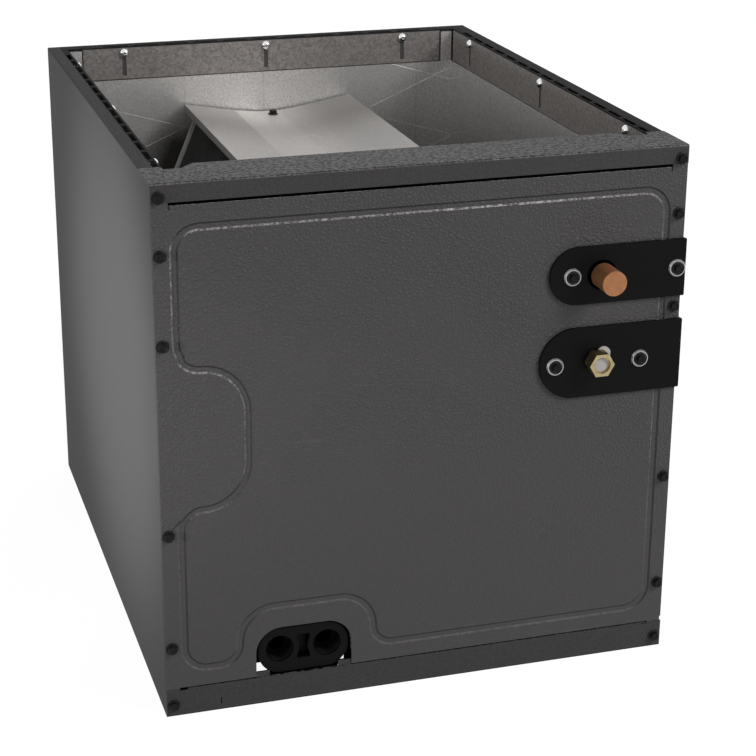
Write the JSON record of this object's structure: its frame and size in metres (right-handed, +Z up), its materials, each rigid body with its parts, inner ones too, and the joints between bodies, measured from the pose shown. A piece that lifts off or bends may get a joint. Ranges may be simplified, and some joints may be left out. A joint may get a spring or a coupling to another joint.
{
  "type": "cased evaporator coil",
  "caption": "Furnace coil case open at top and bottom, with an embossed access panel, two slanted finned slabs under a dished cap, a drain pan and capped line connections.",
  "frame": {"origin": "centre of the open bottom of the case, at the height of its bottom flange", "axes": "+Z up along the air path, +X to the right seen from the access panel, +Y from the access panel into the depth"},
  "size_m": [0.4462, 0.5742, 0.4572],
  "materials": {
    "painted_case": "satin dark grey enamel, leather grain on the rails and panel",
    "galvanised": "galvanised sheet, dull",
    "foil_liner": "glass-fibre blanket faced with foil and scrim",
    "fins": "mill finish fins",
    "copper": "drawn copper, dull",
    "black_plastic": "moulded black plastic",
    "white_plastic": "moulded white plastic",
    "brass_fitting": "turned brass",
    "bright_steel": "bright zinc plate",
    "black_screws": "black oxide"
  },
  "bodies": {
    "root": {"case_wrapper": "painted_case", "top_front_rail": "painted_case", "bottom_front_rail": "painted_case", "access_panel": "painted_case", "insulation_left": "foil_liner", "insulation_right": "foil_liner", "insulation_back": "foil_liner", "insulation_panel": "foil_liner", "duct_flange_left": "galvanised", "duct_flange_right": "galvanised", "duct_flange_back": "galvanised", "coil_top_cap": "galvanised", "delta_plate_front": "galvanised", "delta_plate_rear": "galvanised", "fin_pack_left": "fins", "fin_pack_right": "fins", "tube_sheet_front_left": "galvanised", "tube_sheet_front_right": "galvanised", "tube_sheet_rear_left": "galvanised", "tube_sheet_rear_right": "galvanised", "hairpin_tubes_left": "copper", "hairpin_tubes_right": "copper", "return_bends_left": "copper", "return_bends_right": "copper", "drain_pan": "black_plastic", "pan_rail_left": "galvanised", "pan_rail_right": "galvanised", "suction_header": "copper", "suction_branches": "copper", "liquid_line": "copper", "liquid_line_fitting": "brass_fitting", "liquid_line_plug": "white_plastic", "liquid_line_bushing": "white_plastic", "expansion_valve": "brass_fitting", "power_head": "bright_steel", "distributor": "brass_fitting", "feeder_tubes": "copper", "sensing_bulb": "copper", "bulb_strap": "bright_steel", "suction_line_plate": "black_plastic", "liquid_line_plate": "black_plastic", "plate_washers": "bright_steel", "flange_screws": "bright_steel", "panel_screws": "black_screws", "rail_screws": "black_screws", "plate_screws": "black_screws", "cap_screw": "black_screws"}
  },
  "joints": []
}
